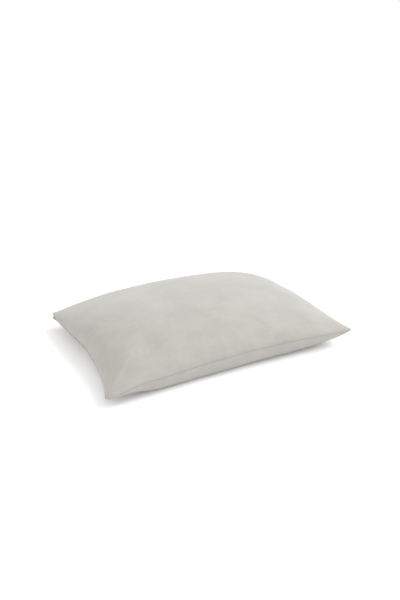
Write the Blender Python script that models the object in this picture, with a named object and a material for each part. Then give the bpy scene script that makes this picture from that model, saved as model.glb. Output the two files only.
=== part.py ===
"""Bed pillow: a fibre-filled insert inside an envelope pillowcase.

Metres, +Z up.  The origin is on the ground, under the middle of the pillow.  +X runs along the long
side to the closed end, so the open end of the case, its mouth, is at -X.

Every layer of cloth is a flat grid that is given two faces and is then draped: each of its points is
moved to its place on the pillow's form.  All layers use the same crossing lines, so they lie on each
other with an even gap and can't cut through one another.
"""

import bmesh
import bpy
from math import ceil, cos, hypot, pi, sin
from mathutils import Vector

# ---- overall form ----
LENGTH = 0.700             # corner to corner, along X
WIDTH = 0.500              # corner to corner, along Y
LOFT = 0.142               # ground to crown
SHEET_HEIGHT = 0.084       # of the curved sheet that holds the seams, before it falls to the sides
FRONT_FALL = 0.020         # how far that sheet falls towards the front seam
MOUTH_FALL = 0.033         # and towards the mouth
END_FALL = 0.020           # and towards the closed end
BACK_LEFT_HEIGHT = 0.043   # corner heights; left is the mouth end, -X, and front is -Y
FRONT_LEFT_HEIGHT = 0.026
FRONT_RIGHT_HEIGHT = 0.049
BACK_RIGHT_HEIGHT = 0.042
MOUTH_DIP = 0.0217         # how far the middle of the mouth is pulled in
MOUTH_SKEW = 0.99          # how much more of that lies in its front half than in its back half
END_DIP = 0.0096           # how far the middle of the closed end is pulled in
SIDE_DIP = 0.0125          # the same for the long sides
CORNER_REACH_ALONG = 4.5   # powers that hold a corner's own height close to it
CORNER_REACH_ACROSS = 1.5
CROWN_FULLNESS = 0.57      # smaller is fuller towards the seams
BELLY_FULLNESS = 0.40
BELLY_PRESS = 1.15         # over 1 presses the underside flat on the ground
MOUTH_SLOPE = 0.130        # from the mouth to where the underside has its full depth

# ---- cloth, thread and gaps ----
CASE_CLOTH = 0.0008
TICKING_CLOTH = 0.0008
HEM_THICKNESS = 0.0016     # a hem is folded twice
ALLOWANCE_THICKNESS = 0.0012
LABEL_THICKNESS = 0.0004
THREAD_RADIUS = 0.00035
PIPING_RADIUS = 0.0017
GAP = 0.0003               # between touching pieces
STEEPEST = 2.5             # limit of the thickening of a layer where it stands steeply

# ---- seams, hems and the flap ----
ALLOWANCE_START = 0.002    # from the seam line to the turned-in seam allowance
ALLOWANCE_WIDTH = 0.007
FLAP_LENGTH = 0.165        # how far the flap reaches in from the mouth
FLAP_HEM_WIDTH = 0.020
STITCH_INSET = 0.003       # a stitch row's distance from the edge that it holds
MOUTH_GAPE = 0.009         # how far the lower lip of the mouth hangs open at its back corner
GAPE_REACH = 0.070         # from that corner to where the lips are together again
LABEL_WIDTH = 0.030
CASE_LABEL_FROM_MOUTH = 0.070
TICKING_LABEL_FROM_END = 0.110
CLOSING_LENGTH = 0.160     # stitched-up filling slit in the end of the ticking

# ---- sizes that follow from the others ----
INSERT_INSET = ALLOWANCE_START + ALLOWANCE_WIDTH + 4 * GAP + 2 * PIPING_RADIUS + GAP
WEDGE = 0.014              # over this width the ticking rises from its seam to the case
FILL_INSET = INSERT_INSET + WEDGE / 2
WEDGE_INSET = INSERT_INSET + WEDGE
MOUTH_HEM_WIDTH = WEDGE_INSET
FLAP_LIFT = HEM_THICKNESS + 2 * GAP
MOUTH_DROP = FLAP_LIFT + CASE_CLOTH + GAP
INSERT_LIFT = MOUTH_DROP + 2 * THREAD_RADIUS + GAP
DROP_REACH = 0.090         # over this length the two lips of the mouth come together
STEP_REACH = 0.030         # over this length the insert steps down past the flap's end
HALF_EDGE = GAP / 2

# ---- crossing lines ----
EDGE_CELL = 0.018          # largest spacing near the edges
MIDDLE_CELL = 0.064        # largest spacing in the middle
EDGE_ZONE = 0.060
STATION_SLACK = 0.01       # share of a cell by which a spacing may be larger
SLOPE_STEP = 0.02          # step in u and v over which a slope is measured
CORNER_STEPS = 4           # of the piping's quarter turn at a corner
SHARP_ANGLE = pi / 3       # edges sharper than this are shaded sharp

CASE_COLOUR = (0.60, 0.58, 0.54)
CASE_INSIDE_COLOUR = (0.58, 0.56, 0.52)
CASE_THREAD_COLOUR = (0.64, 0.62, 0.58)
TICKING_COLOUR = (0.83, 0.82, 0.79)
PIPING_COLOUR = (0.78, 0.77, 0.74)
FIBRE_COLOUR = (0.90, 0.90, 0.89)
LABEL_COLOUR = (0.88, 0.88, 0.86)
CLOTH_ROUGHNESS = 0.9
THREAD_ROUGHNESS = 0.7


def along(distance):
    """u of a line at this distance from the mouth: u runs from -1 at the mouth to 1."""
    return 2 * distance / LENGTH - 1


def across(distance):
    """v of a line at this distance from the front side: v runs from -1 at the front to 1."""
    return 2 * distance / WIDTH - 1


def blend(value, low, high):
    """0 at low, 1 at high, and a smooth turn between them."""
    t = min(max((value - low) / (high - low), 0.0), 1.0)
    return t * t * (3 - 2 * t)


# ---- the pillow's form ----

def plan(u, v):
    """Where a point lies on the ground plan: the sides pull in between the corners."""
    dip = END_DIP if u > 0 else MOUTH_DIP * (1 - MOUTH_SKEW * v)
    end_pull = 2 * dip / LENGTH * (1 - v * v) * u * u
    side_pull = 2 * SIDE_DIP / WIDTH * (1 - u * u) * v * v
    return LENGTH / 2 * u * (1 - end_pull), WIDTH / 2 * v * (1 - side_pull)


def seam_height(u, v):
    """Height of the sheet that the side seams lie in."""
    corners = (
        (1 - u) * (1 + v) * BACK_LEFT_HEIGHT
        + (1 - u) * (1 - v) * FRONT_LEFT_HEIGHT
        + (1 + u) * (1 - v) * FRONT_RIGHT_HEIGHT
        + (1 + u) * (1 + v) * BACK_RIGHT_HEIGHT
    ) / 4
    sides = (
        SHEET_HEIGHT
        - FRONT_FALL * ((1 - v) / 2) ** 2
        - MOUTH_FALL * ((1 - u) / 2) ** 2
        - END_FALL * ((1 + u) / 2) ** 2
    )
    near_corner = abs(u) ** CORNER_REACH_ALONG * abs(v) ** CORNER_REACH_ACROSS
    return corners * near_corner + sides * (1 - near_corner)


def swell(u, v, fullness):
    """0 on the seams and 1 at the middle of the pillow."""
    return (max(1 - u * u, 0.0) * max(1 - v * v, 0.0)) ** fullness


def crown(u, v):
    """Upper face of the case."""
    edge = seam_height(u, v) + HALF_EDGE + CASE_CLOTH
    return edge + (LOFT - edge) * swell(u, v, CROWN_FULLNESS)


def belly(u, v):
    """Lower face of the case, flat where the pillow rests on the ground."""
    from_mouth = (u + 1) * LENGTH / 2
    lip = 1 - blend(from_mouth, 0.0, DROP_REACH)
    gape = 1 - blend((1 - v) * WIDTH / 2, 0.0, GAPE_REACH)
    drop = lip * (MOUTH_DROP + MOUTH_GAPE * gape)
    edge = seam_height(u, v) - HALF_EDGE - CASE_CLOTH
    slope = min(from_mouth / MOUTH_SLOPE, 1.0)
    full = SHEET_HEIGHT * BELLY_PRESS * slope * (2 - slope)
    depth = full * swell(u, v, BELLY_FULLNESS)
    return max(edge - drop - depth, 0.0)


def steepness(face, u, v):
    """Upright thickness of a layer per thickness of its cloth; 1 on the seams and on the flat."""
    if max(abs(u), abs(v)) >= 1:
        return 1.0
    rise_u = face(min(u + SLOPE_STEP, 1), v) - face(max(u - SLOPE_STEP, -1), v)
    rise_v = face(u, min(v + SLOPE_STEP, 1)) - face(u, max(v - SLOPE_STEP, -1))
    run_u = LENGTH / 2 * (min(u + SLOPE_STEP, 1) - max(u - SLOPE_STEP, -1))
    run_v = WIDTH / 2 * (min(v + SLOPE_STEP, 1) - max(v - SLOPE_STEP, -1))
    return min(hypot(1.0, rise_u / run_u, rise_v / run_v), STEEPEST)


def under_crown(distance):
    """A face that lies this far below the crown."""
    return lambda u, v: crown(u, v) - distance * steepness(crown, u, v)


def over_belly(distance):
    """A face that lies this far above the belly."""
    return lambda u, v: belly(u, v) + distance * steepness(belly, u, v)


def into_insert(u, v):
    """0 on the ticking's seam, and 1 where the ticking has reached the case."""
    def side(distance):
        return min(max((distance - INSERT_INSET) / WEDGE, 0.0), 1.0)

    end = side((1 - abs(u)) * LENGTH / 2)
    return end * side((1 - abs(v)) * WIDTH / 2)


def insert_lift(u):
    """Room under the insert for the hems and the flap, up to the flap's end."""
    past_flap = blend((u + 1) * LENGTH / 2, FLAP_LENGTH, FLAP_LENGTH + STEP_REACH)
    return GAP + (INSERT_LIFT - GAP) * (1 - past_flap)


def ticking_top(depth):
    """A face of the upper ticking, this far inside its outer face."""
    def face(u, v):
        share = into_insert(u, v)
        edge = seam_height(u, v) + HALF_EDGE + TICKING_CLOTH - depth
        return edge * (1 - share) + under_crown(CASE_CLOTH + GAP + depth)(u, v) * share
    return face


def ticking_bottom(depth):
    """A face of the lower ticking, this far inside its outer face."""
    def face(u, v):
        share = into_insert(u, v)
        edge = seam_height(u, v) - HALF_EDGE - TICKING_CLOTH + depth
        lift = CASE_CLOTH + insert_lift(u) + depth
        return edge * (1 - share) + over_belly(lift)(u, v) * share
    return face


def flap_face(depth):
    """A face of the flap: from the top panel's edge at the mouth down to the bottom panel."""
    def face(u, v):
        if u <= -1:
            return seam_height(u, v) - HALF_EDGE - CASE_CLOTH + depth
        return over_belly(CASE_CLOTH + FLAP_LIFT + depth)(u, v)
    return face


def seam_face(offset):
    """A face this far over the seam sheet."""
    return lambda u, v: seam_height(u, v) + offset


def midway(upper, lower, offset):
    """A face in the middle of the space between two faces."""
    return lambda u, v: (upper(u, v) + lower(u, v)) / 2 + offset


# ---- crossing lines ----

def stations(marks, length):
    """The marks, with enough even steps between them; the edges get the small ones."""
    marks = sorted(set(marks))
    lines = []
    for start, end in zip(marks, marks[1:]):
        middle = (start + end) / 2
        near_edge = min(middle, length - middle) < EDGE_ZONE
        largest = EDGE_CELL if near_edge else MIDDLE_CELL
        steps = max(1, ceil((end - start) / largest - STATION_SLACK))
        lines += [start + (end - start) * i / steps for i in range(steps)]
    return lines + [length]


edge_marks = (0.0, INSERT_INSET, FILL_INSET, WEDGE_INSET, EDGE_ZONE)
mouth_stitch = MOUTH_HEM_WIDTH - STITCH_INSET
flap_hem_start = FLAP_LENGTH - FLAP_HEM_WIDTH
flap_stitch = flap_hem_start + STITCH_INSET
closing_stitch = LENGTH - INSERT_INSET - STITCH_INSET
flap_marks = (mouth_stitch, flap_hem_start, flap_stitch, FLAP_LENGTH, FLAP_LENGTH + STEP_REACH)
u_marks = [*edge_marks, *(LENGTH - m for m in edge_marks), *flap_marks, closing_stitch]
v_marks = [*edge_marks, *(WIDTH - m for m in edge_marks)]
u_stations = stations(u_marks, LENGTH)
v_stations = stations(v_marks, WIDTH)


def between(lines, low, high):
    """The lines from low to high, both kept."""
    slack = GAP / 10
    return [line for line in lines if low - slack <= line <= high + slack]


# ---- making the pieces ----

def clear_scene():
    for old in list(bpy.data.objects):
        bpy.data.objects.remove(old, do_unlink=True)


def collection_named(name):
    group = bpy.data.collections.new(name)
    bpy.context.scene.collection.children.link(group)
    return group


def finish_material(name, colour, roughness):
    material = bpy.data.materials.new(name)
    material.use_nodes = True
    shader = material.node_tree.nodes["Principled BSDF"]
    shader.inputs["Base Color"].default_value = (*colour, 1.0)
    shader.inputs["Roughness"].default_value = roughness
    shader.inputs["Metallic"].default_value = 0.0
    return material


def add_object(name, data, colour, roughness, body):
    data.materials.append(finish_material(name, colour, roughness))
    item = bpy.data.objects.new(name, data)
    pillow.objects.link(item)
    item.parent = body
    item.matrix_parent_inverse = body.matrix_world.inverted()
    return item


def draped(name, u_lines, v_lines, upper, lower, colour, body):
    """A layer of cloth or filling between two faces, over these crossing lines."""
    mesh = bpy.data.meshes.new(name)
    bm = bmesh.new()
    columns, rows = len(u_lines) - 1, len(v_lines) - 1
    bmesh.ops.create_grid(bm, x_segments=columns, y_segments=rows, size=1.0)
    for quad in list(bm.faces):
        corners = sorted(quad.verts, key=lambda vert: vert.co.x + vert.co.y)
        bmesh.utils.face_split(quad, corners[0], corners[-1])
    raised = bmesh.ops.extrude_face_region(bm, geom=bm.faces[:])["geom"]
    for part in raised:
        if isinstance(part, bmesh.types.BMVert):
            part.co.z = 1.0
    for vert in bm.verts:
        u = along(u_lines[round((vert.co.x + 1) / 2 * columns)])
        v = across(v_lines[round((vert.co.y + 1) / 2 * rows)])
        face = upper if vert.co.z > 0.5 else lower
        vert.co = Vector((*plan(u, v), face(u, v)))
    bmesh.ops.recalc_face_normals(bm, faces=bm.faces[:])
    bm.to_mesh(mesh)
    bm.free()
    for polygon in mesh.polygons:
        polygon.use_smooth = True
    mesh.set_sharp_from_angle(angle=SHARP_ANGLE)
    return add_object(name, mesh, colour, CLOTH_ROUGHNESS, body)


def cord(name, points, radius, closed, colour, body):
    """A thread or cord through these points."""
    curve = bpy.data.curves.new(name, "CURVE")
    curve.dimensions = "3D"
    curve.bevel_depth = radius
    curve.bevel_resolution = 2
    curve.use_fill_caps = True
    spline = curve.splines.new("POLY")
    spline.points.add(len(points) - 1)
    for point, place in zip(spline.points, points):
        point.co = (*place, 1.0)
    spline.use_cyclic_u = closed
    return add_object(name, curve, colour, THREAD_ROUGHNESS, body)


def thread(name, places, face, side, colour, body):
    """A row of stitches on a face: side is 1 above the face and -1 below it."""
    stand_off = side * (GAP + THREAD_RADIUS)
    points = []
    for u, v in places:
        z = face(u, v) + stand_off * steepness(face, u, v)
        points.append((*plan(u, v), z))
    return cord(name, points, THREAD_RADIUS, False, colour, body)


def row_across(distance, low=INSERT_INSET, high=WIDTH - INSERT_INSET):
    """Places along a line that crosses the pillow at this distance from the mouth."""
    return [(along(distance), across(d)) for d in between(v_stations, low, high)]


def row_along(distance, low=INSERT_INSET, high=LENGTH - INSERT_INSET):
    """Places along a line that runs the pillow's length at this distance from the front."""
    return [(along(d), across(distance)) for d in between(u_stations, low, high)]


def piping_path():
    """Round the insert's edge, outside it, with an arc at each corner."""
    reach = PIPING_RADIUS + GAP
    inner_u = between(u_stations, INSERT_INSET, LENGTH - INSERT_INSET)
    inner_v = between(v_stations, INSERT_INSET, WIDTH - INSERT_INSET)
    sides = (
        ([(d, inner_v[0]) for d in inner_u], -pi / 2),
        ([(inner_u[-1], d) for d in inner_v], 0.0),
        ([(d, inner_v[-1]) for d in reversed(inner_u)], pi / 2),
        ([(inner_u[0], d) for d in reversed(inner_v)], pi),
    )
    corner_turns = [pi / 2 * i / CORNER_STEPS for i in range(CORNER_STEPS + 1)]
    points = []
    for line, outward in sides:
        for place in line[1:]:
            u, v = along(place[0]), across(place[1])
            x, y = plan(u, v)
            turns = corner_turns if place == line[-1] else [0.0]
            for turn in turns:
                angle = outward + turn
                points.append((x + reach * cos(angle), y + reach * sin(angle), seam_height(u, v)))
    return points


clear_scene()
pillow = collection_named("bed_pillow")
case_body = bpy.data.objects.new("pillowcase_body", None)
insert_body = bpy.data.objects.new("insert_body", None)
for empty in (case_body, insert_body):
    pillow.objects.link(empty)
insert_body.location = (-LENGTH / 2, 0.0, SHEET_HEIGHT - MOUTH_FALL)
bpy.context.view_layer.update()

insert_u = between(u_stations, INSERT_INSET, LENGTH - INSERT_INSET)
insert_v = between(v_stations, INSERT_INSET, WIDTH - INSERT_INSET)
fill_u = between(u_stations, FILL_INSET, LENGTH - FILL_INSET)
fill_v = between(v_stations, FILL_INSET, WIDTH - FILL_INSET)


def make_case_panels():
    draped("case_top_panel", u_stations, v_stations, crown, under_crown(CASE_CLOTH),
           CASE_COLOUR, case_body)
    draped("case_bottom_panel", u_stations, v_stations, over_belly(CASE_CLOTH), belly,
           CASE_COLOUR, case_body)


def make_flap_and_hems():
    flap_u = between(u_stations, 0.0, FLAP_LENGTH)
    draped("case_inner_flap", flap_u, insert_v, flap_face(CASE_CLOTH), flap_face(0.0),
           CASE_INSIDE_COLOUR, case_body)
    hems = (
        ("case_mouth_hem", 0.0, MOUTH_HEM_WIDTH),
        ("case_flap_hem", flap_hem_start, FLAP_LENGTH),
    )
    lower = over_belly(CASE_CLOTH + GAP)
    upper = over_belly(CASE_CLOTH + GAP + HEM_THICKNESS)
    for name, start, end in hems:
        hem_u = between(u_stations, start, end)
        draped(name, hem_u, insert_v, upper, lower, CASE_INSIDE_COLOUR, case_body)
    thread("case_mouth_stitching", row_across(mouth_stitch), belly, -1,
           CASE_THREAD_COLOUR, case_body)
    thread("case_flap_stitching", row_across(flap_stitch), flap_face(CASE_CLOTH), 1,
           CASE_THREAD_COLOUR, case_body)


def make_side_seams():
    """The turned-in seam allowances, each with its row of stitches."""
    start = ALLOWANCE_START
    end = ALLOWANCE_START + ALLOWANCE_WIDTH
    middle = (start + end) / 2
    upper = seam_face(ALLOWANCE_THICKNESS / 2)
    lower = seam_face(-ALLOWANCE_THICKNESS / 2)
    seams = (
        ("case_front", insert_u, (start, end), row_along(middle)),
        ("case_back", insert_u, (WIDTH - end, WIDTH - start), row_along(WIDTH - middle)),
        ("case_end", (LENGTH - end, LENGTH - start), insert_v, row_across(LENGTH - middle)),
        ("case_flap", (start, end), insert_v, row_across(middle)),
    )
    for name, u_lines, v_lines, row in seams:
        draped(name + "_seam", u_lines, v_lines, upper, lower, CASE_INSIDE_COLOUR, case_body)
        thread(name + "_seam_stitching", row, upper, 1, CASE_THREAD_COLOUR, case_body)


def make_ticking():
    draped("ticking_top_panel", insert_u, insert_v, ticking_top(0.0),
           ticking_top(TICKING_CLOTH), TICKING_COLOUR, insert_body)
    draped("ticking_bottom_panel", insert_u, insert_v, ticking_bottom(TICKING_CLOTH),
           ticking_bottom(0.0), TICKING_COLOUR, insert_body)
    cord("ticking_piping", piping_path(), PIPING_RADIUS, True, PIPING_COLOUR, insert_body)
    half = CLOSING_LENGTH / 2
    slit = row_across(closing_stitch, WIDTH / 2 - half, WIDTH / 2 + half)
    thread("ticking_closing_stitches", slit, ticking_top(0.0), 1, PIPING_COLOUR, insert_body)
    draped("fibre_fill", fill_u, fill_v, ticking_top(TICKING_CLOTH + GAP),
           ticking_bottom(TICKING_CLOTH + GAP), FIBRE_COLOUR, insert_body)


def make_labels():
    """Blank care labels: one stands in the front seam, one in the ticking's back seam."""
    case_label_u = (CASE_LABEL_FROM_MOUTH, CASE_LABEL_FROM_MOUTH + LABEL_WIDTH)
    over_seam = seam_face(ALLOWANCE_THICKNESS / 2)
    inside_case = under_crown(CASE_CLOTH)
    half = LABEL_THICKNESS / 2
    draped("case_care_label", case_label_u, (INSERT_INSET - ALLOWANCE_WIDTH, INSERT_INSET),
           midway(inside_case, over_seam, half), midway(inside_case, over_seam, -half),
           LABEL_COLOUR, case_body)
    label_end = LENGTH - TICKING_LABEL_FROM_END
    ticking_label_u = (label_end - LABEL_WIDTH, label_end)
    inside_belly = over_belly(CASE_CLOTH)
    draped("ticking_care_label", ticking_label_u,
           (WIDTH - FILL_INSET, WIDTH - INSERT_INSET + PIPING_RADIUS),
           midway(ticking_bottom(0.0), inside_belly, half),
           midway(ticking_bottom(0.0), inside_belly, -half), LABEL_COLOUR, insert_body)


make_case_panels()
make_flap_and_hems()
make_side_seams()
make_ticking()
make_labels()
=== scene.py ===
# %% [markdown]
# # A bed pillow in its pillowcase
#
# A bed pillow is two bags, one inside the other. The inner bag is the insert: white ticking with a
# piped edge, stuffed with loose fibre. The outer bag is the pillowcase: two panels of plain grey
# cotton, sewn together on three sides, with a flap at the open side that tucks over the insert.
# The working model already says where every piece is, so this script starts by loading it, and
# then gives each piece its true surface: cloth that swells, puckers and sags.

# %% Load the working model
from math import ceil, cos, pi, radians, sin

import bpy
import numpy as np
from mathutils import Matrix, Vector


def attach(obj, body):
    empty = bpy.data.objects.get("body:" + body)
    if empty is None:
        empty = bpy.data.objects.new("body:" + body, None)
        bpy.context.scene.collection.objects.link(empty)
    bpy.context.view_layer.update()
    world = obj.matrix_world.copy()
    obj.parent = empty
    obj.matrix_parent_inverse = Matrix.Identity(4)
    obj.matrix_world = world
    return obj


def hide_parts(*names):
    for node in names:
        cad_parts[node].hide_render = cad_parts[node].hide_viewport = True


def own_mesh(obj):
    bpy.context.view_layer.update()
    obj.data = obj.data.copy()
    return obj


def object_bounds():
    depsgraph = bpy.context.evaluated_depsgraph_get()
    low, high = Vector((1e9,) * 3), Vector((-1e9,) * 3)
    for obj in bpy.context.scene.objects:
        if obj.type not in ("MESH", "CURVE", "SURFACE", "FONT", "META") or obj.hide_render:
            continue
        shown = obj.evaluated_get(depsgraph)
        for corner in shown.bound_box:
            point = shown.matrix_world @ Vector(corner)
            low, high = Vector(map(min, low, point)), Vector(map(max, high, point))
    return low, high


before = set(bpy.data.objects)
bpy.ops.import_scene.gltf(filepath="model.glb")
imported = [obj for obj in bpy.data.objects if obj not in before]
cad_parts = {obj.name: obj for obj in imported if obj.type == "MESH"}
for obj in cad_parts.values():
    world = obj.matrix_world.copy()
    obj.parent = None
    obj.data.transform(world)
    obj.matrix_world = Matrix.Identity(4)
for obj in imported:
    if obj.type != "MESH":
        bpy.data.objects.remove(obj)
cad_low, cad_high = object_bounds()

LENGTH, WIDTH, LOFT = cad_high - cad_low
print(f"pillow {LENGTH:.3f} x {WIDTH:.3f} x {LOFT:.3f} m, {len(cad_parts)} working pieces")

# %% [markdown]
# ## Camera, floor and light
#
# The pillow lies on a white ground in a very bright room. A plain white world lights it from all
# round, which leaves only a soft grey shade where the pillow hides the sky from the ground. A wide
# sun from the right adds the gentle step from the light right end to the darker left. A weaker and
# wider one from the left, a little in front, fills the side that the first one leaves. A wide sun
# has soft shadows and the same strength everywhere, which an area light hasn't. The ground also
# glows a little, as a lit table does, and that keeps the shade beside the pillow pale.

# %% Camera
CAMERA_TURN = radians(-27.36)      # round the pillow, from straight in front
CAMERA_RISE = radians(22.10)
CAMERA_DISTANCE = 1.6274
CAMERA_TARGET = Vector((0.0778, 0.1258, 0.05))
CAMERA_LENS = 31.61

bpy.ops.object.select_all(action="DESELECT")
bpy.ops.object.camera_add()
camera = bpy.context.object
camera.data.lens = CAMERA_LENS
towards_camera = Vector((
    sin(CAMERA_TURN) * cos(CAMERA_RISE),
    -cos(CAMERA_TURN) * cos(CAMERA_RISE),
    sin(CAMERA_RISE),
))
camera.location = CAMERA_TARGET + towards_camera * CAMERA_DISTANCE
camera.rotation_euler = towards_camera.to_track_quat("Z", "Y").to_euler()
bpy.context.scene.camera = camera
print("camera at", [round(x, 3) for x in camera.location])

# %% Floor and light
FLOOR_SIZE = 60.0
FLOOR_GAP = 0.0002
SUNS = (                           # name, strength, turn from +X towards +Y, rise, width, colour
    ("sun", 2.5, radians(-8), radians(38), radians(50), (0.96, 0.99, 1.0)),
    ("fill", 0.7, radians(208), radians(28), radians(70), (1.0, 0.97, 0.93)),
)

bpy.ops.mesh.primitive_plane_add(size=FLOOR_SIZE, location=(0, 0, cad_low.z - FLOOR_GAP))
floor = bpy.context.object
floor.name = "floor"

for name, strength, turn, rise, width, colour in SUNS:
    bpy.ops.object.light_add(type="SUN")
    sun = bpy.context.object
    sun.name = name
    sun.data.energy, sun.data.angle, sun.data.color = strength, width, colour
    towards_sun = Vector((cos(turn) * cos(rise), sin(turn) * cos(rise), sin(rise)))
    sun.rotation_euler = towards_sun.to_track_quat("Z", "Y").to_euler()
    print(name, "stands towards", [round(x, 2) for x in towards_sun])

world = bpy.data.worlds.new("bright_room")
world.use_nodes = True
sky = world.node_tree.nodes["Background"]
sky.inputs["Color"].default_value = (1.0, 1.0, 1.0, 1.0)
sky.inputs["Strength"].default_value = 1.0
bpy.context.scene.world = world
bpy.context.scene.view_settings.view_transform = "Standard"
print("suns:", len(SUNS), "and a white world round them")

# %% [markdown]
# ## The pillow's form
#
# Each panel is a stretched square: u runs from -1 at the mouth to 1 at the closed end, and v from
# -1 at the front seam to 1 at the back one. A few formulas say where such a point lies. The sides
# pull in between the corners, the middle swells up, and the underside swells down until the
# ground stops it. The heights of the seams are read from the working model. What is added here,
# such as the worn corner, a lift beside it, lumps and a fold, departs from it by a centimetre at
# most.

# %% Sizes read from the working model
EDGE_GAP = 0.00015                 # from the seam's middle to each panel
HALF_LENGTH, HALF_WIDTH = LENGTH / 2, WIDTH / 2


def cad_points(node):
    """The corners of a working piece, as an array of places."""
    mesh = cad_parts[node].data
    places = np.empty(len(mesh.vertices) * 3, np.float32)
    mesh.vertices.foreach_get("co", places)
    return places.reshape(-1, 3).astype(float)


top_points = cad_points("case_top_panel")


def lowest(points):
    return points[points[:, 2].argmin()]


def cad_corner(end, side):
    """The lower edge of the top panel at a corner."""
    gaps = np.hypot(top_points[:, 0] - end * HALF_LENGTH, top_points[:, 1] - side * HALF_WIDTH)
    return lowest(top_points[gaps < gaps.min() + EDGE_GAP])


def cad_side(axis, direction):
    """The lower edge of the top panel at the middle of a side."""
    off_middle = abs(top_points[:, 1 - axis])
    line = top_points[off_middle < off_middle.min() + EDGE_GAP]
    outwards = line[:, axis] * direction
    return lowest(line[outwards > outwards.max() - EDGE_GAP])


corner_heights = {
    (end, side): cad_corner(end, side)[2] - EDGE_GAP for end in (-1, 1) for side in (-1, 1)
}
mouth_middle, end_middle = cad_side(0, -1), cad_side(0, 1)
front_middle, back_middle = cad_side(1, -1), cad_side(1, 1)
MOUTH_DIP = HALF_LENGTH + mouth_middle[0]
END_DIP = HALF_LENGTH - end_middle[0]
SIDE_DIP = HALF_WIDTH + front_middle[1]
print(f"dips: mouth {MOUTH_DIP:.4f}, end {END_DIP:.4f}, sides {SIDE_DIP:.4f}")
print("corners", {key: round(float(height), 4) for key, height in corner_heights.items()})

# %% The curved sheet that the seams lie in
FRONT_FALL = back_middle[2] - front_middle[2]
ends_mean = (mouth_middle[2] + end_middle[2]) / 2
SHEET_HEIGHT = 2 * back_middle[2] - FRONT_FALL / 4 - ends_mean - EDGE_GAP
MOUTH_FALL = SHEET_HEIGHT + EDGE_GAP - FRONT_FALL / 4 - mouth_middle[2]
END_FALL = SHEET_HEIGHT + EDGE_GAP - FRONT_FALL / 4 - end_middle[2]
print(f"sheet {SHEET_HEIGHT:.4f}, falls {FRONT_FALL:.4f}, {MOUTH_FALL:.4f}, {END_FALL:.4f}")

# %% Two soft steps that the form is made of
def smooth_step(value, low, high):
    """0 at low, 1 at high, and a smooth turn between them."""
    t = np.clip((value - low) / (high - low), 0.0, 1.0)
    return t * t * (3 - 2 * t)


def bump(value, middle, reach):
    """1 at the middle and next to nothing at twice the reach."""
    return np.exp(-(((value - middle) / reach) ** 2))


print("half way up a step:", smooth_step(0.5, 0.0, 1.0))
print("one reach from a bump's middle:", round(float(bump(1.0, 0.0, 1.0)), 3))

# %% The outline on the ground
CORNER_RADIUS = 0.004
WORN_CORNER_RADIUS = 0.023         # of the front corner at the mouth, which has been plumped
MOUTH_SKEW = 0.99                  # the mouth's edge pulls in most near the front
MOUTH_BEND = 0.0018                # a sharper bend in the mouth's edge
MOUTH_BEND_PLACE = -0.09           # its v
MOUTH_BEND_REACH = 0.30


def corners_rounded(u, v):
    """u and v with the square corners of the cloth bent round."""
    radius = np.where((u < 0) & (v < 0), WORN_CORNER_RADIUS, CORNER_RADIUS)
    p = np.clip(1 - (1 - abs(u)) * HALF_LENGTH / radius, 0, 1)
    q = np.clip(1 - (1 - abs(v)) * HALF_WIDTH / radius, 0, 1)
    u_back = p * (1 - np.sqrt(1 - q * q / 2)) * radius / HALF_LENGTH
    v_back = q * (1 - np.sqrt(1 - p * p / 2)) * radius / HALF_WIDTH
    return u - np.sign(u) * u_back, v - np.sign(v) * v_back


def plan(u, v):
    """Where a point lies on the ground plan."""
    u, v = corners_rounded(u, v)
    bend = MOUTH_BEND * np.clip(1 - abs(v - MOUTH_BEND_PLACE) / MOUTH_BEND_REACH, 0, 1)
    dip = np.where(u > 0, END_DIP, MOUTH_DIP * (1 - MOUTH_SKEW * v) + bend)
    end_pull = 2 * dip / LENGTH * (1 - v * v) * u * u
    side_pull = 2 * SIDE_DIP / WIDTH * (1 - u * u) * v * v
    return HALF_LENGTH * u * (1 - end_pull), HALF_WIDTH * v * (1 - side_pull)


print("front corner at the mouth:", [round(float(place), 4) for place in plan(-1.0, -1.0)])

# %% The height of the seams
CORNER_REACH_ALONG = 4.5           # the higher, the nearer to a corner its own height takes over
CORNER_REACH_ACROSS = 1.5
FRONT_LIFT = 0.005                 # of the front seam, where it comes up from the plumped corner
FRONT_LIFT_PLACE = -0.76           # its u
FRONT_LIFT_REACH = 0.13
FRONT_LIFT_START = 0.4             # this share of the way to the front seam it begins


def seam_height(u, v):
    """Height of the sheet that the side seams lie in."""
    corners = sum(
        (1 + end * u) * (1 + side * v) * height / 4
        for (end, side), height in corner_heights.items()
    )
    falls = (
        FRONT_FALL * ((1 - v) / 2) ** 2
        + MOUTH_FALL * ((1 - u) / 2) ** 2
        + END_FALL * ((1 + u) / 2) ** 2
    )
    near_corner = abs(u) ** CORNER_REACH_ALONG * abs(v) ** CORNER_REACH_ACROSS
    lift = FRONT_LIFT * bump(u, FRONT_LIFT_PLACE, FRONT_LIFT_REACH)
    lift = lift * smooth_step(-v, FRONT_LIFT_START, 1.0)
    return corners * near_corner + (SHEET_HEIGHT - falls) * (1 - near_corner) + lift


seam_middles = [seam_height(u, v) for u, v in ((-1.0, 0.0), (1.0, 0.0), (0.0, -1.0), (0.0, 1.0))]
print("seams in the middle of the sides:", [round(float(height), 4) for height in seam_middles])

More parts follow.
